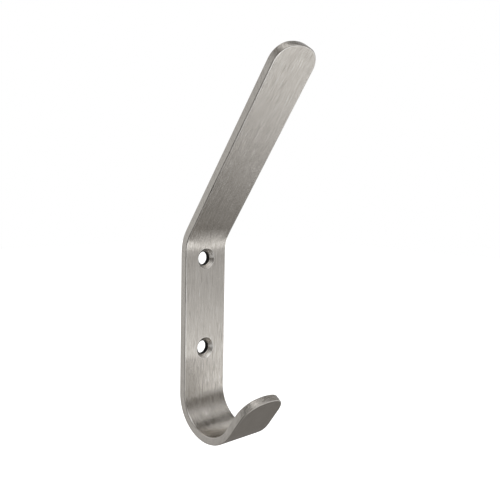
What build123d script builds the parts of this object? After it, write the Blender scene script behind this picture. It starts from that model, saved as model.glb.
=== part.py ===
from build123d import *

import os
from math import isclose

# A hat and coat hook folded from one length of stainless flat bar.
# The bar is cropped to crowned ends, drilled and countersunk for two wood screws, then bent
# forward at the top into a long arm for a hat, and forward and up at the bottom into a coat hook.
# Frame: the origin is midway between the screw holes, on the face that lies on the wall.
# +Z is up, +Y goes into the wall, and both the arm and the hook reach out towards -Y.

# Flat bar
bar_width = 20.0
bar_thickness = 3.0
edge_radius = 0.4

# Wall plate: the straight length between the two bends
plate_length = 52.5
upper_hole_below_arm_bend = 1.0

# Screw holes, for countersunk wood screws of 4 mm
hole_spacing = 35.0
hole_diameter = 5.0
countersink_diameter = 8.2
countersink_angle = 90.0

# Arm: its lean from upright, its bend radius on the front face, and its length past the bend
arm_lean = 35.0
arm_bend_radius = 17.0
arm_length = 77.0

# Coat hook: its turn from straight down, its bend radius on the front face, and its length past the bend
hook_turn = 144.0
hook_bend_radius = 13.0
hook_tip_length = 16.0

# Crowned ends, the same on the arm and on the hook
crown_rise = 3.5
crown_corner_radius = 7.5

# Lengths closer than this count as the same
same_length = 0.0001

# Heights that follow from the holes and the plate
upper_hole_z = hole_spacing / 2
plate_top = upper_hole_z + upper_hole_below_arm_bend
plate_bottom = plate_top - plate_length

# The whole hook is one piece of bar
with BuildPart() as hook_strap:
    # Side view: a line up the wall side of the bar, given its thickness towards the front
    with BuildSketch(Plane.YZ):
        with BuildLine():
            plate = Line((0, plate_bottom), (0, plate_top))
            arm_bend = JernArc(plate @ 1, plate % 1, arm_bend_radius + bar_thickness, arm_lean)
            arm = Line(arm_bend @ 1, arm_bend @ 1 + arm_length * (arm_bend % 1))
            hook_bend = JernArc(plate @ 0, -(plate % 0), hook_bend_radius + bar_thickness, -hook_turn)
            hook_tip = Line(hook_bend @ 1, hook_bend @ 1 + hook_tip_length * (hook_bend % 1))
            offset(amount=bar_thickness, side=Side.LEFT)
        make_face()
    extrude(amount=bar_width / 2, both=True)

    # Crowned ends: a low arc with rounded corners, and what lies outside it is cropped away
    across_bar = Vector(1, 0, 0)
    crop_reach = 2 * (crown_rise + crown_corner_radius)
    for leg in (arm, hook_tip):
        end_point = Plane.YZ.from_local_coords(leg @ 1)
        outward = Plane.YZ.from_local_coords(leg % 1)
        end_plane = Plane(origin=end_point, x_dir=across_bar, z_dir=across_bar.cross(outward))
        with BuildSketch(end_plane, mode=Mode.PRIVATE) as kept_end:
            with BuildLine():
                crown = ThreePointArc((-bar_width / 2, -crown_rise), (0, 0), (bar_width / 2, -crown_rise))
                Polyline(crown @ 1, (bar_width / 2, -crop_reach), (-bar_width / 2, -crop_reach), crown @ 0)
            make_face()
            fillet([kept_end.vertices().sort_by_distance(end)[0] for end in (crown @ 0, crown @ 1)],
                   crown_corner_radius)
        with BuildSketch(end_plane):
            Rectangle(2 * bar_width, crop_reach)
            add(kept_end.sketch_local, mode=Mode.SUBTRACT)
        extrude(amount=2 * bar_thickness, both=True, mode=Mode.SUBTRACT)

    # The finishing belt breaks the edges of both outlines, but not the bend lines
    # or the short lines through the thickness, where faces already meet smoothly
    all_edges = hook_strap.edges()
    bend_lines = all_edges.filter_by(Axis.X)
    thickness_lines = all_edges.filter_by(
        lambda edge: isclose(edge.length, bar_thickness, abs_tol=same_length))
    fillet(all_edges - bend_lines - thickness_lines, edge_radius)

    # Screw holes, countersunk from the front face
    front_face = Plane(origin=(0, -bar_thickness, 0), x_dir=across_bar, z_dir=(0, -1, 0))
    with Locations(front_face):
        with GridLocations(hole_spacing, hole_spacing, 1, 2):
            CounterSinkHole(hole_diameter / 2, countersink_diameter / 2, bar_thickness, countersink_angle)

hook_strap.part.label = "hook_strap"

os.makedirs("parts", exist_ok=True)
export_step(hook_strap.part, "parts/hook_strap.step")
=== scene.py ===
# %% [markdown]
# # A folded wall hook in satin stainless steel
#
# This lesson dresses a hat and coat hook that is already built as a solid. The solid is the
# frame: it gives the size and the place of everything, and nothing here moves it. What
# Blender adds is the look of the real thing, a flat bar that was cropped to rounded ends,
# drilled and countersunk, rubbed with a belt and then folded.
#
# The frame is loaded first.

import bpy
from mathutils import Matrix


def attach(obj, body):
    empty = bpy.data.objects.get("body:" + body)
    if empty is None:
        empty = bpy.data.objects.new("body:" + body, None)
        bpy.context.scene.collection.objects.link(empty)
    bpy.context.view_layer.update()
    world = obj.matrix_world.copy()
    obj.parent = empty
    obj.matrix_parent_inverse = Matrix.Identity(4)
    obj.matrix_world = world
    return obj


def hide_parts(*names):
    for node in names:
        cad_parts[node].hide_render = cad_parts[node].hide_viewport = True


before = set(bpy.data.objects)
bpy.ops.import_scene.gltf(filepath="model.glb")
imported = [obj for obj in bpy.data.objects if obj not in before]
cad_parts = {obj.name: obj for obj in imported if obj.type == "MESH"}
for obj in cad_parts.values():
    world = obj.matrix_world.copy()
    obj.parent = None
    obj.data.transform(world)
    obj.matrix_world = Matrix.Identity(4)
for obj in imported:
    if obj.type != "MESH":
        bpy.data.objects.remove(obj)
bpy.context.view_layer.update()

from math import cos, degrees, pi, radians, sin

import bpy
from mathutils import Matrix, Vector

MM = 0.001

# %% [markdown]
# ## Wires: node trees written as sums
#
# Both the shape and the finish are node trees, and long trees are hard to read as lists of
# links. One small class helps: a `Wire` is the output of a node, and adding or multiplying
# wires adds the Math nodes. Everything else goes through one method, `node`, which takes the
# type of the node, its settings, and then what goes into its sockets. The same class serves
# geometry and shaders, because both kinds of tree share the Math node.

# %% The wire class
class Wire:
    """The output of a node. Arithmetic on wires adds Math nodes to their tree."""

    def __init__(self, tree, socket=None):
        self.tree, self.socket = tree, socket

    def node(self, kind, settings=(), sockets=(), out=0):
        """Adds a node: its type, its settings, what goes into its sockets, the output to take."""
        made = self.tree.nodes.new(kind)
        for name, value in dict(settings).items():
            setattr(made, name, value)
        for name, value in dict(sockets).items():
            if isinstance(value, Wire):
                self.tree.links.new(value.socket, made.inputs[name])
            else:
                made.inputs[name].default_value = value
        return Wire(self.tree, made.outputs[out] if made.outputs else None)

    def other(self, name):
        """Another output of the same node."""
        return Wire(self.tree, self.socket.node.outputs[name])

    def math(self, operation, *values):
        return self.node("ShaderNodeMath", {"operation": operation}, enumerate(values))

    def __add__(self, other):
        return self.math("ADD", self, other)

    def __sub__(self, other):
        return self.math("SUBTRACT", self, other)

    def __mul__(self, other):
        return self.math("MULTIPLY", self, other)

    def __truediv__(self, other):
        return self.math("DIVIDE", self, other)

    def __radd__(self, other):
        return self.math("ADD", other, self)

    def __rsub__(self, other):
        return self.math("SUBTRACT", other, self)

    def __rmul__(self, other):
        return self.math("MULTIPLY", other, self)

    def __neg__(self):
        return self.math("MULTIPLY", self, -1.0)

    def __abs__(self):
        return self.math("ABSOLUTE", self)

    def sine(self):
        return self.math("SINE", self)

    def cosine(self):
        return self.math("COSINE", self)

    def power(self, other):
        return self.math("POWER", self, other)

    def least(self, other):
        return self.math("MINIMUM", self, other)

    def most(self, other):
        return self.math("MAXIMUM", self, other)

    def between(self, low, high):
        """This wire, held between two limits."""
        return self.most(low).least(high)

    def parts(self):
        """The three numbers of a vector, each as a wire."""
        split = self.node("ShaderNodeSeparateXYZ", (), {0: self})
        return [split.other(name) for name in "XYZ"]

    def vector(self, x, y, z):
        return self.node("ShaderNodeCombineXYZ", (), {0: x, 1: y, 2: z})


print("wires know:", ", ".join(name for name in vars(Wire) if not name.startswith("__")))

# %% [markdown]
# ## The sizes of the bar
#
# The hook is one length of 20 by 3 mm flat bar. Its sizes are the ones the solid was drawn
# with, but for the bend of the arm, which the cell of the fold explains. They become named
# inputs of the node tree, so that the hook can be changed from the modifier panel. A height
# along the bar is measured up the wall side, from the middle between the screw holes, as if
# the bar were still flat.

# %% Name the sizes
bar = {
    "Bar Width": 20.0 * MM,
    "Bar Thickness": 3.0 * MM,
    "Edge Radius": 0.4 * MM,
    "Plate Top": 18.5 * MM,
    "Plate Bottom": -34.0 * MM,
    "Arm Bend Radius": 14.239 * MM,
    "Arm Ease Radius": 40.0 * MM,
    "Arm Ease Turn": radians(4.0),
    "Arm Lean": radians(35.0),
    "Arm Length": 77.0 * MM,
    "Hook Bend Radius": 16.0 * MM,
    "Hook Turn": radians(144.0),
    "Hook Tip Length": 16.0 * MM,
    "Crown Rise": 3.5 * MM,
    "Corner Radius": 7.5 * MM,
    "Hole Spacing": 35.0 * MM,
    "Hole Radius": 2.5 * MM,
    "Countersink Radius": 4.1 * MM,
    "Rim Radius": 0.08 * MM,
}


def arm_bend_length(sizes):
    """The run of the arm's bend along the wall side: its middle and its two eased ends."""
    return (2.0 * sizes["Arm Ease Radius"] * sizes["Arm Ease Turn"]
            + sizes["Arm Bend Radius"] * (sizes["Arm Lean"] - 2.0 * sizes["Arm Ease Turn"]))


flat_length = (bar["Plate Top"] - bar["Plate Bottom"] + arm_bend_length(bar) + bar["Arm Length"]
               + bar["Hook Bend Radius"] * bar["Hook Turn"] + bar["Hook Tip Length"])
print(f"length of flat bar before folding: {flat_length / MM:.1f} mm")

# %% [markdown]
# ## The tree and its inputs
#
# The bar follows a rule from end to end, which is what Geometry Nodes are good at. The tree
# works in the order of the workshop: outline, broken edges, holes, faces, and the fold last
# of all. Until the fold, the bar lies flat: x runs across it, y along it, and z is the depth
# from the wall side to the front.

# %% Start the tree
hook_tree = bpy.data.node_groups.new("folded_bar", "GeometryNodeTree")
sockets = hook_tree.interface
sockets.new_socket("Geometry", in_out="OUTPUT", socket_type="NodeSocketGeometry")
for size_name, size_value in bar.items():
    socket = sockets.new_socket(size_name, in_out="INPUT", socket_type="NodeSocketFloat")
    socket.default_value = size_value
sockets.new_socket("Finish", in_out="INPUT", socket_type="NodeSocketMaterial")

nodes = Wire(hook_tree)
group_input = hook_tree.nodes.new("NodeGroupInput")
size = {socket.name: Wire(hook_tree, socket) for socket in group_input.outputs if socket.name}
print("inputs:", len(size))

# %% [markdown]
# ## The outline of the blank
#
# Each end of the bar is crowned: a low arc across the end, with a rounded corner on each
# side. All of it can be drawn with one angle that turns from the right-hand side over the
# top to the left, and on round the bottom. A corner adds its radius in the direction of that
# angle, and where the angle points more forwards than sideways the crown adds its own longer
# radius. Because every point is a centre plus a radius, the outline has no kinks.

# %% Draw the outline
STEPS_ALONG = 364
STEPS_ROUND_END = 72

half_width = size["Bar Width"] * 0.5
crown_rise, corner_radius = size["Crown Rise"], size["Corner Radius"]
crown_radius = (half_width * half_width + crown_rise * crown_rise) / (2.0 * crown_rise)
crown_beyond_corner = crown_radius - corner_radius
corner_across = half_width - corner_radius
corner_up = (crown_beyond_corner * crown_beyond_corner - corner_across * corner_across).power(0.5)
corner_below_tip = crown_radius - corner_up

arm_start = size["Plate Top"] + arm_bend_length(size)
tip_start = size["Plate Bottom"] - size["Hook Bend Radius"] * size["Hook Turn"]
top_corner = arm_start + size["Arm Length"] - corner_below_tip
bottom_corner = tip_start - size["Hook Tip Length"] + corner_below_tip

step = nodes.node("GeometryNodeInputIndex")
steps_to_left = STEPS_ALONG + STEPS_ROUND_END
steps_to_bottom = steps_to_left + STEPS_ALONG
climb = ((step / STEPS_ALONG).between(0.0, 1.0)
         - ((step - steps_to_left) / STEPS_ALONG).between(0.0, 1.0))
turn = pi * (((step - STEPS_ALONG) / STEPS_ROUND_END).between(0.0, 1.0)
             + ((step - steps_to_bottom) / STEPS_ROUND_END).between(0.0, 1.0))

crown_across = (crown_beyond_corner * turn.cosine()).between(-corner_across, corner_across)
crown_reach = crown_beyond_corner * turn.sine()
crown_up = (crown_reach - corner_up).most(0.0) + (crown_reach + corner_up).least(0.0)
outline_across = corner_radius * turn.cosine() + crown_across
outline_along = (bottom_corner + (top_corner - bottom_corner) * climb
                 + corner_radius * turn.sine() + crown_up)
outline_place = nodes.vector(outline_across, outline_along, 0.0)
ring = nodes.node("GeometryNodeCurvePrimitiveCircle", (), {"Resolution": 2 * steps_to_left})
outline = nodes.node("GeometryNodeSetPosition", (), {"Geometry": ring, "Position": outline_place})
print("points round the outline:", 2 * steps_to_left)

# %% [markdown]
# ## Broken edges and countersunk holes
#
# A freshly cropped bar has sharp edges, and the finishing belt rounds them. That round edge
# is most of what makes metal look real, because it catches a line of light. It could come
# from a Bevel modifier, but a section swept along the outline gives the same round edge
# everywhere, also at the crowned ends. A hole is made the same way, with a section that has
# a straight bore and a cone, swept round a circle. Three helpers serve both.

# %% Sections, sweeps and attributes
EDGE_STEPS = 8


def section(corners, radius):
    """A curve through these corners, from the front to the wall side, rounded to the radius."""
    straight = nodes.node("GeometryNodeCurvePrimitiveLine")
    points = nodes.node("GeometryNodeResampleCurve", (), {"Curve": straight, "Count": len(corners)})
    number = nodes.node("GeometryNodeInputIndex")
    sideways, inwards = 0.0, 0.0
    for corner_number, (corner_sideways, corner_depth) in enumerate(corners):
        chosen = nodes.math("COMPARE", number, float(corner_number), 0.5)
        sideways, inwards = sideways + chosen * corner_sideways, inwards + chosen * corner_depth
    bent = nodes.node("GeometryNodeSetPosition", (),
                      {"Geometry": points, "Position": nodes.vector(sideways, -inwards, 0.0)})
    return nodes.node("GeometryNodeFilletCurve", {"mode": "POLY"},
                      {"Curve": bent, "Radius": radius, "Count": EDGE_STEPS})


def store(geometry, name, value, kind="FLOAT"):
    """A named attribute on the points, which the finish can read."""
    return nodes.node("GeometryNodeStoreNamedAttribute", {"data_type": kind},
                      {"Geometry": geometry, "Name": name, "Value": value})


def sweep(path, profile):
    """The profile drawn along a flat path, with its depth kept upright."""
    upright = nodes.node("GeometryNodeSetCurveNormal", {"mode": "Z_UP"}, {"Curve": path})
    return nodes.node("GeometryNodeCurveToMesh", (), {"Curve": upright, "Profile Curve": profile})


print(f"each corner of a section is rounded in {EDGE_STEPS} steps")

# %% [markdown]
# ## The edges
#
# The section of an edge runs from the front face round the side to the wall face. A narrow
# strip of the flat face is part of it, so that smooth shading has nothing left to blend over
# the face itself. The attribute `worn` marks where the edge was rubbed bright: from the face
# to a little short of the side.

# %% Sweep the edges
FACE_STRIP = 0.2 * MM
SIDE_STRIP = 0.1 * MM
WORN_STRIP = 0.2 * MM
UNWORN_SHARE = 0.25

place = nodes.node("GeometryNodeInputPosition")
across, along, depth = place.parts()
thickness = size["Bar Thickness"]
face_inset = -(size["Edge Radius"] + FACE_STRIP)
side_inset = size["Edge Radius"] + SIDE_STRIP
edge_section = section([(face_inset, thickness), (0.0, thickness), (0.0, thickness - side_inset),
                        (0.0, side_inset), (0.0, 0.0), (face_inset, 0.0)], size["Edge Radius"])
worn_from_face = (across - face_inset) / FACE_STRIP
worn_from_side = (across + size["Edge Radius"] * UNWORN_SHARE) / -WORN_STRIP
edge_worn = worn_from_face.least(worn_from_side)
edge_skin = sweep(outline, store(edge_section, "worn", edge_worn.between(0.0, 1.0)))
print(f"flat strip beside each edge: {FACE_STRIP / MM:.1f} mm")

# %% [markdown]
# ## The holes
#
# The section of a hole starts on the wall face, climbs the bore, opens into the cone of the
# countersink and ends on the front face. Only the outer rim of the cone is worn. One hole is
# swept, and two instances of it are placed and made real.

# %% Sweep the holes
HOLE_STEPS = 72

hole_circle = nodes.node("GeometryNodeCurvePrimitiveCircle", (),
                         {"Resolution": HOLE_STEPS, "Radius": size["Hole Radius"]})
cone_depth = size["Countersink Radius"] - size["Hole Radius"]
rim_strip = size["Rim Radius"] + FACE_STRIP
hole_section = section([(rim_strip, 0.0), (0.0, 0.0), (0.0, thickness - cone_depth),
                        (cone_depth, thickness), (cone_depth + rim_strip, thickness)],
                       size["Rim Radius"])
hole_worn = 1.0 - abs(across - cone_depth) / WORN_STRIP
hole_skin = sweep(hole_circle, store(hole_section, "worn", hole_worn.between(0.0, 1.0)))
half_spacing = size["Hole Spacing"] * 0.5
hole_places = nodes.node("GeometryNodeMeshLine", {"mode": "END_POINTS"},
                         {"Count": 2, "Start Location": nodes.vector(0.0, -half_spacing, 0.0),
                          "Offset": nodes.vector(0.0, half_spacing, 0.0)})
holes = nodes.node("GeometryNodeInstanceOnPoints", (),
                   {"Points": hole_places, "Instance": hole_skin})
holes = nodes.node("GeometryNodeRealizeInstances", (), {"Geometry": holes})
print(f"each hole has {HOLE_STEPS} steps round")

# %% [markdown]
# ## What the finish needs to know
#
# The brushed lines run along the bar and follow it round the bends, so the finish has to
# know where a point was while the bar was still flat. It also has to tell a belted side from
# a face, and the inside of a hole from both. These facts are stored as attributes on the
# mesh before the fold, and they ride along with it.

# %% Store the attributes
RIM_SHARE = 0.25

from_faces = depth.least(thickness - depth)
edge_skin = store(edge_skin, "side", (from_faces / size["Edge Radius"]).between(0.0, 1.0))
past_rim = from_faces / (size["Rim Radius"] * RIM_SHARE)
holes = store(holes, "in_hole", past_rim.between(0.0, 1.0))
print("stored so far: worn, side, in_hole")

# %% [markdown]
# ## The flat faces
#
# The swept skins end in open edges, which have a face on one side only. Those on the front
# are taken as curves and filled, and so are those on the wall side, whose face is flipped so
# that it points outwards. The place of each point is stored last, while the bar is flat.

# %% Close the faces
SAME_PLACE = 0.001 * MM
ONE_OR_TWO_FACES = 1.5


def join(*parts):
    """All these meshes as one."""
    gathered = nodes.node("GeometryNodeJoinGeometry")
    for part in reversed(parts):
        hook_tree.links.new(part.socket, gathered.socket.node.inputs[0])
    return gathered


skin = nodes.node("GeometryNodeMergeByDistance", (),
                  {"Geometry": join(edge_skin, holes), "Distance": SAME_PLACE})
faces_on_edge = nodes.node("GeometryNodeInputMeshEdgeNeighbors")
is_open = nodes.math("LESS_THAN", faces_on_edge, ONE_OR_TWO_FACES)
is_front = nodes.math("GREATER_THAN", depth, thickness * 0.5)


def face(on_side, height):
    """The flat face inside the open edges of one side, at its height."""
    rims = nodes.node("GeometryNodeMeshToCurve", (), {"Mesh": skin, "Selection": is_open * on_side})
    filled = nodes.node("GeometryNodeFillCurve", {"mode": "TRIANGLES"}, {"Curve": rims})
    return nodes.node("GeometryNodeSetPosition", (),
                      {"Geometry": filled, "Position": nodes.vector(across, along, height)})


front_face = face(is_front, thickness)
wall_face = nodes.node("GeometryNodeFlipFaces", (), {"Mesh": face(1.0 - is_front, 0.0)})
blank = nodes.node("GeometryNodeMergeByDistance", (),
                   {"Geometry": join(skin, front_face, wall_face), "Distance": SAME_PLACE})
blank = store(blank, "flat_place", place, "FLOAT_VECTOR")
print("stored as well: flat_place")

# %% [markdown]
# ## The fold
#
# A folded bar can be made with a Curve modifier, but a fold is simple enough to write down.
# Up to a bend, a point only rises. In a bend it goes round the centre, on a radius that is
# shorter for the front of the bar than for its wall side. Past the bend it goes straight on
# in the new direction. Each part is a length held between two limits, so one sum serves
# every point, and the arm and the hook don't disturb each other.
#
# The hook was wound round a roller and has one radius. The arm was pressed over a blade,
# which folds the middle more tightly than the two ends, so its bend has three arcs. They
# lie about 0.2 mm from the single arc of the solid, but they make the reflection change
# quickly, and that puts the sharp line across the front of a pressed bend.

# %% Fold the bar
def bend(run, arcs):
    """The turn, the way outwards and the way on at this run through a bend made of arcs."""
    start = turned = turned_before = out = on = nodes.math("ADD", 0.0, 0.0)
    for radius, turn in arcs:
        turned_here = turned_before + ((run - start) / radius).between(0.0, turn)
        out = out + radius * (turned_before.cosine() - turned_here.cosine())
        on = on + radius * (turned_here.sine() - turned_before.sine())
        turned = turned + turned_here - turned_before
        start, turned_before = start + radius * turn, turned_before + turn
    straight = (run - start).most(0.0)
    return turned, out + straight * turned.sine(), on + straight * turned.cosine()


eased = (size["Arm Ease Radius"], size["Arm Ease Turn"])
arm_arcs = [eased, (size["Arm Bend Radius"], size["Arm Lean"] - 2.0 * size["Arm Ease Turn"]), eased]
arm_turn, arm_out, arm_up = bend((along - size["Plate Top"]).most(0.0), arm_arcs)
hook_turn, hook_out, hook_down = bend((size["Plate Bottom"] - along).most(0.0),
                                      [(size["Hook Bend Radius"], size["Hook Turn"])])
outwards = arm_out + hook_out + depth * arm_turn.cosine() * hook_turn.cosine()
upwards = (along.between(size["Plate Bottom"], size["Plate Top"]) + arm_up - hook_down
           - depth * (arm_turn.sine() - hook_turn.sine()))
folded = nodes.node("GeometryNodeSetPosition", (),
                    {"Geometry": blank, "Position": nodes.vector(across, -outwards, upwards)})
folded = nodes.node("GeometryNodeSetShadeSmooth", (), {"Geometry": folded, "Shade Smooth": True})
folded = nodes.node("GeometryNodeRealizeInstances", (), {"Geometry": folded})
folded = nodes.node("GeometryNodeSetMaterial", (), {"Geometry": folded, "Material": size["Finish"]})
group_output = hook_tree.nodes.new("NodeGroupOutput")
hook_tree.links.new(folded.socket, group_output.inputs[0])
print("nodes in the tree:", len(hook_tree.nodes))

# %% [markdown]
# ## Satin stainless steel
#
# Satin steel is a mirror with fine scratches in it, all running the same way. The scratches
# are what make it look like metal: across them the reflection is smeared wide, and along
# them it stays sharp. An anisotropic shader can imitate that, but it needs a direction at
# every point. Here the scratches themselves do it: noise that is stretched far longer than
# it is wide tilts the surface through a Bump node. Broader, fainter streaks change the tone
# and the roughness, as on a real sheet, and a few single scratches are lighter or darker.
# All of them read where a point was on the flat bar, so they run on through the bends.

# %% Lines along the bar
FINE_LINE = (0.07 * MM, 15.0 * MM)
STREAK = (0.4 * MM, 9.0 * MM)
PATCH = (5.0 * MM, 30.0 * MM)
LINE_DETAIL = 2.0
LINE_ROUGHNESS = 0.6

steel = bpy.data.materials.new("brushed_stainless")
steel.use_nodes = True
steel.node_tree.nodes.clear()
paint = Wire(steel.node_tree)


def stored(name, output="Fac"):
    return paint.node("ShaderNodeAttribute", {"attribute_name": name}).other(output)


def lines(x, y, z, detail=LINE_DETAIL, seed=0.0):
    """Noise from 0 to 1 that changes about once in each unit of x, y and z."""
    return paint.node("ShaderNodeTexNoise", {"noise_dimensions": "4D"},
                      {"Vector": paint.vector(x, y, z), "W": seed, "Scale": 1.0,
                       "Detail": detail, "Roughness": LINE_ROUGHNESS})


def blend(low, high, share):
    """From low to high as share goes from 0 to 1."""
    return low + (high - low) * share


bar_across, bar_along, bar_depth = stored("flat_place", "Vector").parts()
on_side, in_hole, on_worn = (stored(name) for name in ("side", "in_hole", "worn"))


def face_lines(line, detail=LINE_DETAIL, seed=0.0):
    """Lines along the flat bar, given by their width and their length."""
    width, length = line
    return lines(bar_across / width, bar_along / length, bar_depth / MM, detail, seed)


face_fine = face_lines(FINE_LINE)
face_streaks = face_lines(STREAK, seed=1.0)
face_patches = face_lines(PATCH, seed=2.0)
widths = [round(width / MM, 2) for width, length in (FINE_LINE, STREAK, PATCH)]
print("widths of the lines on the faces in mm:", widths)

# %% [markdown]
# ## Sides, cones and single scratches
#
# The belt that rounded the sides ran across them at a slant, so their lines do too. In a
# hole, the height above the wall side tells the bore from the countersink, which was turned,
# so that its lines go round. The bore and the foot of the cone get a painted shade: a nearly
# black colour for the shade inside the hole. A single scratch is the same stretched noise
# again, but only its highest values are kept.

# %% Lines on the sides and in the holes
# Heights above the wall side: painted shade below the first, the turned cone above the second.
DARK_BELOW, TURNED_ABOVE = 1.55 * MM, 1.75 * MM
SLANT = 0.6
SIDE_LINE = (0.07 * MM, 4.0 * MM)
SIDE_STREAK = (0.6 * MM, 5.0 * MM)
TURNED_LINE = (0.05 * MM, 6.0 * MM)
LIGHT_SCRATCH = (0.30 * MM, 7.0 * MM)
DARK_SCRATCH = (0.30 * MM, 6.0 * MM)


def crossing_lines(line, narrow, long_way, other_way, seed=0.0):
    """Lines given by their width and length, and by what to measure each of them along."""
    width, length = line
    return lines(narrow / width, long_way / length, other_way / length, seed=seed)


# The painted shade in a hole: the bore and the foot of the cone, up to DARK_BELOW.
past_bore = ((bar_depth - DARK_BELOW) / (TURNED_ABOVE - DARK_BELOW)).between(0.0, 1.0)
on_cone, on_shaded_bore = in_hole * past_bore, in_hole * (1.0 - past_bore)
slant = bar_along + bar_depth * SLANT
side_fine = crossing_lines(SIDE_LINE, slant, bar_depth, bar_across)
side_streaks = crossing_lines(SIDE_STREAK, slant, bar_depth, bar_across, seed=1.0)
cone_fine = crossing_lines(TURNED_LINE, bar_depth, bar_across, bar_along)

fine = blend(blend(face_fine, side_fine, on_side), cone_fine, on_cone)
streaks = blend(face_streaks, side_streaks, on_side)


def scratches(line, seed, start, full):
    """From 0 to 1 where stretched noise is above start, and 1 from full on."""
    noise = face_lines(line, detail=0.0, seed=seed)
    return ((noise - start) / (full - start)).between(0.0, 1.0) * (1.0 - on_side)


light_scratches = scratches(LIGHT_SCRATCH, seed=5.0, start=0.70, full=0.78)
dark_scratches = scratches(DARK_SCRATCH, seed=6.0, start=0.68, full=0.74)
lengths = [round(length / MM, 1) for width, length in (LIGHT_SCRATCH, DARK_SCRATCH)]
print("lengths of the light and the dark scratches in mm:", lengths)

# %% [markdown]
# ## The steel itself
#
# Steel has no colour of its own under the light it reflects, only a slightly warm tint. The
# rounded edges are worn brighter and smoother than the faces. The bores were drilled and
# never belted, so they are rougher, and their colour is a painted shade, nearly black, for
# the shade inside the holes. Only what changes over the surface is linked. The rest is set
# on the shader's own sockets.

# %% Steel finish
STEEL = (0.655, 0.62, 0.572, 1.0)
BRIGHT_STEEL = (0.93, 0.905, 0.87, 1.0)
DULL_STEEL = (0.45, 0.42, 0.38, 1.0)
# Painted shade: the nearly black colour of the bore stands in for the shade inside the hole.
BORE_SHADE = (0.012, 0.011, 0.010, 1.0)
PATCH_CONTRAST, STREAK_CONTRAST = 0.2, 0.9
WORN_BRIGHTER, SCRATCH_BRIGHTER, SCRATCH_DULLER = 0.9, 0.7, 0.9
LEAST_ROUGH = 0.07
ROUGHER = ((streaks, 0.04), (fine, 0.03), (on_side, 0.06), (on_worn, -0.02), (on_shaded_bore, 0.4))
GROOVE_DEPTH = 0.09 * MM


def mix_colours(share, first, second):
    """From the first colour to the second as share, a wire, goes from 0 to 1."""
    return share.node("ShaderNodeMix", {"data_type": "RGBA"}, {0: share, 6: first, 7: second}, 2)


uneven = (face_patches - 0.5) * PATCH_CONTRAST + (streaks - 0.5) * STREAK_CONTRAST
brighter = uneven + on_worn * WORN_BRIGHTER + light_scratches * SCRATCH_BRIGHTER
duller = dark_scratches * SCRATCH_DULLER - uneven
colour = mix_colours(brighter.between(0.0, 1.0), STEEL, BRIGHT_STEEL)
colour = mix_colours(duller.between(0.0, 1.0), colour, DULL_STEEL)
# Painted shade in the bore and at the foot of the cone.
colour = mix_colours(on_shaded_bore, colour, BORE_SHADE)
roughness = LEAST_ROUGH
for cause, more in ROUGHER:
    roughness = roughness + cause * more
grooves = paint.node("ShaderNodeBump", (),
                     {"Strength": 1.0, "Distance": GROOVE_DEPTH, "Height": fine})
shader = paint.node("ShaderNodeBsdfPrincipled", (),
                    {"Base Color": colour, "Metallic": 1.0,
                     "Roughness": roughness, "Normal": grooves})
paint.node("ShaderNodeOutputMaterial", (), {"Surface": shader})
print("nodes in the finish:", len(steel.node_tree.nodes))

# %% [markdown]
# ## From tree to mesh
#
# The tree is put on an empty object as a modifier, with its inputs set by the name that
# Blender gives each socket, its identifier. The result is then copied out as a plain mesh,
# and the modifier goes. That mesh takes the place of the solid it was made after.

# %% Make the mesh
recipe = bpy.data.objects.new("recipe", bpy.data.meshes.new("recipe"))
bpy.context.scene.collection.objects.link(recipe)
folding = recipe.modifiers.new("folded_bar", "NODES")
folding.node_group = hook_tree
for socket in sockets.items_tree:
    if socket.in_out == "INPUT":
        folding[socket.identifier] = steel if socket.name == "Finish" else bar[socket.name]
folded_recipe = recipe.evaluated_get(bpy.context.evaluated_depsgraph_get())
made_mesh = bpy.data.meshes.new_from_object(folded_recipe)
bpy.data.objects.remove(recipe)

folded_bar = bpy.data.objects.new("folded_bar", made_mesh)
bpy.context.scene.collection.objects.link(folded_bar)
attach(folded_bar, "root")
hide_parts("hook_strap")
print("folded_bar:", len(made_mesh.vertices), "points,", len(made_mesh.polygons), "faces")

# %% [markdown]
# ## The camera
#
# The picture was taken from close by, a little above the screw holes and well to the left,
# with the camera turned by one degree. Its place is given as a turn round the hook, a height
# above the horizon, a distance, and how far the origin lies from the middle of the picture.

# %% Set up the camera
TURN_LEFT = radians(44.471)
LOOK_DOWN = radians(5.362)
TILT = radians(1.111)
DISTANCE = 262.107 * MM
ASIDE = -19.295 * MM
ABOVE = 20.396 * MM
SENSOR = 36.0
LENS = 48.286
CLIP_NEAR, CLIP_FAR = 0.01, 20.0

level_back = Vector((-sin(TURN_LEFT), -cos(TURN_LEFT), 0.0))
back = level_back * cos(LOOK_DOWN) + Vector((0.0, 0.0, sin(LOOK_DOWN)))
level_right = Vector((cos(TURN_LEFT), -sin(TURN_LEFT), 0.0))
level_up = back.cross(level_right)
right = level_right * cos(TILT) + level_up * sin(TILT)
up = level_up * cos(TILT) - level_right * sin(TILT)

camera_data = bpy.data.cameras.new("camera")
camera_data.sensor_width = SENSOR
camera_data.lens = LENS
camera_data.clip_start, camera_data.clip_end = CLIP_NEAR, CLIP_FAR
camera = bpy.data.objects.new("camera", camera_data)
bpy.context.scene.collection.objects.link(camera)
camera_place = back * DISTANCE - right * ASIDE + up * ABOVE
camera_turn = Matrix((right, up, back)).transposed().to_4x4()
camera.matrix_world = Matrix.Translation(camera_place) @ camera_turn
bpy.context.scene.camera = camera
print("camera at", [round(value / MM, 1) for value in camera_place], "mm")

# %% [markdown]
# ## The studio
#
# Metal shows its surroundings more than itself, so the studio matters as much as the finish.
# The hook was lit as metal usually is: inside a round tent of white paper with soft panels
# of light and darker parts between them, closed below and open at the top, with a plain pale
# floor under it. The tent gives off its own light and the camera looks through it, so behind
# the hook there is only white. Lamps alone would leave the steel nearly black between their
# reflections.

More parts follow.
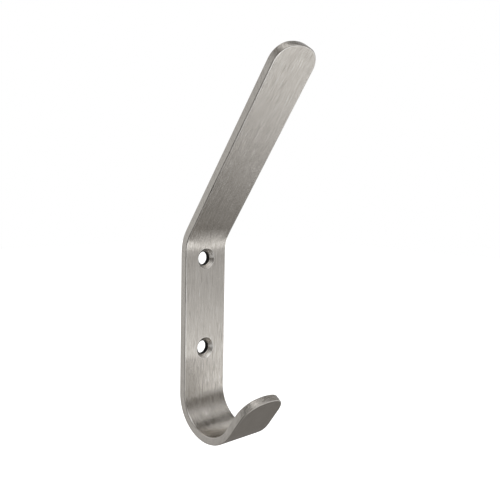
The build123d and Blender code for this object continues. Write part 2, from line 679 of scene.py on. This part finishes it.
# %% Floor and surroundings
scene = bpy.context.scene
scene.view_settings.view_transform = "Standard"
FLOOR_HEIGHT = -600.0 * MM
FLOOR_SIZE = 12.0
FLOOR_COLOUR = (0.85, 0.85, 0.85, 1.0)
FLOOR_LIFT = 0.9
WHITE = (1.0, 1.0, 1.0, 1.0)
ROOM_LEVEL = 0.6


def new_nodes(block):
    """An empty node tree on a material or a world, as a wire to start from."""
    block.use_nodes = True
    block.node_tree.nodes.clear()
    return Wire(block.node_tree)


def background_rays(wires):
    """1 for the rays that show a background: from the camera, a reflection or through glass."""
    ray = wires.node("ShaderNodeLightPath")
    seen, mirrored = ray.other("Is Camera Ray"), ray.other("Is Glossy Ray")
    return seen.most(mirrored).most(ray.other("Is Transmission Ray"))


def stage_mesh(name, points, faces, material):
    """A part of the studio, which isn't part of the hook."""
    mesh = bpy.data.meshes.new(name)
    mesh.from_pydata(points, [], faces)
    mesh.materials.append(material)
    made = bpy.data.objects.new(name, mesh)
    scene.collection.objects.link(made)
    return made


world = bpy.data.worlds.new("room")
air = new_nodes(world)
sky = air.node("ShaderNodeBackground", (),
               {"Color": WHITE, "Strength": ROOM_LEVEL + (1.0 - ROOM_LEVEL) * background_rays(air)})
air.node("ShaderNodeOutputWorld", (), {"Surface": sky})
scene.world = world

floor_finish = bpy.data.materials.new("pale_floor")
ground = new_nodes(floor_finish)
matt = ground.node("ShaderNodeBsdfDiffuse", (), {"Color": FLOOR_COLOUR})
lift = ground.node("ShaderNodeEmission", (),
                   {"Color": WHITE, "Strength": background_rays(ground) * FLOOR_LIFT})
both = ground.node("ShaderNodeAddShader", (), {0: matt, 1: lift})
ground.node("ShaderNodeOutputMaterial", (), {"Surface": both})
reach = FLOOR_SIZE / 2.0
floor_corners = [(-reach, -reach, FLOOR_HEIGHT), (reach, -reach, FLOOR_HEIGHT),
                 (reach, reach, FLOOR_HEIGHT), (-reach, reach, FLOOR_HEIGHT)]
stage_mesh("floor", floor_corners, [(0, 1, 2, 3)], floor_finish)
print(f"floor {abs(FLOOR_HEIGHT):.2f} m below the origin")

# %% [markdown]
# ## The light tent
#
# Each panel of the tent is a soft-edged patch, given by the directions in which it is seen
# from the hook: degrees round from straight ahead, with the right positive, and degrees
# above the horizon. The numbers are its level, its left end and how soft that is, its right
# end and how soft that is, and the same for its bottom and its top. A panel starts at its
# end and is full after the width of its soft edge. Later panels lie over earlier ones.

# %% Panels of the tent
panels = {
    "glow_right": (0.58, -65, 3, 100, 23, -37, 5, -3, 4),
    "softbox_low": (1.50, -12, 17, 82, 59, -55, 25, -8, 15),
    "grey_gap": (0.03, 34, 7, 73, 44, -31, 9, 17, 50),
    "side_glow": (1.36, 82, 16, 109, 18, -24, 3, 1, 3),
    "softbox_high": (1.08, -48, 8, 101, 73, 7, 49, 88, 10),
    "dark_strip": (0.03, 47, 14, 109, 5, 37, 6, 79, 7),
    "behind": (0.70, 140, 20, 190, 5, -80, 40, 75, 15),
    "glow_back": (0.85, 109, 8, 142, 16, -19, 21, 63, 40),
    "camera_side": (0.03, -114, 13, -54, 24, -80, 3, 68, 21),
    "left_back": (0.57, -182, 5, -97, 8, -71, 60, 48, 13),
}
print("panels in the tent:", len(panels))

# %% [markdown]
# ## The glow of the tent
#
# The material of the tent works out the direction of each point and lays the panels over a
# plain grey, one after another. Where the tent is dark it is also a little warmer, as paper
# in the shade is.

# %% Light up the tent
TENT_RADIUS = 0.6
TENT_LEVEL = 0.22
SHADE = (1.0, 0.93, 0.86, 1.0)
SHADE_BELOW = 0.5

tent_finish = bpy.data.materials.new("tent_paper")
paper = new_nodes(tent_finish)
tent_x, tent_y, tent_z = paper.node("ShaderNodeTexCoord").other("Object").parts()
turn_round = paper.math("ARCTAN2", tent_x, -tent_y) * degrees(1.0)
turn_up = paper.math("ARCSINE", tent_z / TENT_RADIUS) * degrees(1.0)


def soft(amount):
    """A ramp from 0 to 1 that starts and ends gently."""
    held = amount.between(0.0, 1.0)
    return held * held * (3.0 - 2.0 * held)


brightness = TENT_LEVEL
for level, *edges in panels.values():
    left, left_soft, right_end, right_soft, bottom, bottom_soft, top, top_soft = edges
    covers = (soft((turn_round - left) / left_soft) * soft((right_end - turn_round) / right_soft)
              * soft((turn_up - bottom) / bottom_soft) * soft((top - turn_up) / top_soft))
    brightness = brightness + (level - brightness) * covers
tint = mix_colours((brightness / SHADE_BELOW).between(0.0, 1.0), SHADE, WHITE)
glow = paper.node("ShaderNodeEmission", (), {"Color": tint, "Strength": brightness})
paper.node("ShaderNodeOutputMaterial", (), {"Surface": glow})
print("nodes in the tent's material:", len(tent_finish.node_tree.nodes))

# %% [markdown]
# ## The shape of the tent
#
# The tent is a ball of rings round the hook, with its lowest and its highest ring given in
# degrees above the horizon. The camera sees through it.

# %% Build the tent
TENT_MIDDLE = (0.0, -20.0 * MM, 20.0 * MM)
TENT_FROM, TENT_TO = -89.0, 75.0
TENT_STEPS_ROUND, TENT_STEPS_UP = 96, 41

tent_points = []
for row in range(TENT_STEPS_UP + 1):
    climbed = radians(TENT_FROM + (TENT_TO - TENT_FROM) * row / TENT_STEPS_UP)
    row_radius, row_height = TENT_RADIUS * cos(climbed), TENT_RADIUS * sin(climbed)
    for column in range(TENT_STEPS_ROUND):
        turned = 2.0 * pi * column / TENT_STEPS_ROUND
        tent_points.append((row_radius * sin(turned), -row_radius * cos(turned), row_height))
tent_faces = []
for row_start in range(0, TENT_STEPS_UP * TENT_STEPS_ROUND, TENT_STEPS_ROUND):
    for column in range(TENT_STEPS_ROUND):
        here, beside = row_start + column, row_start + (column + 1) % TENT_STEPS_ROUND
        tent_faces.append((here, beside, beside + TENT_STEPS_ROUND, here + TENT_STEPS_ROUND))
tent = stage_mesh("light_tent", tent_points, tent_faces, tent_finish)
tent.location = TENT_MIDDLE
tent.visible_camera = False
print("faces of the tent:", len(tent_faces))

# %% [markdown]
# ## Finish
#
# Last, the scene is brought up to date.

# %% Finish
bpy.context.view_layer.update()
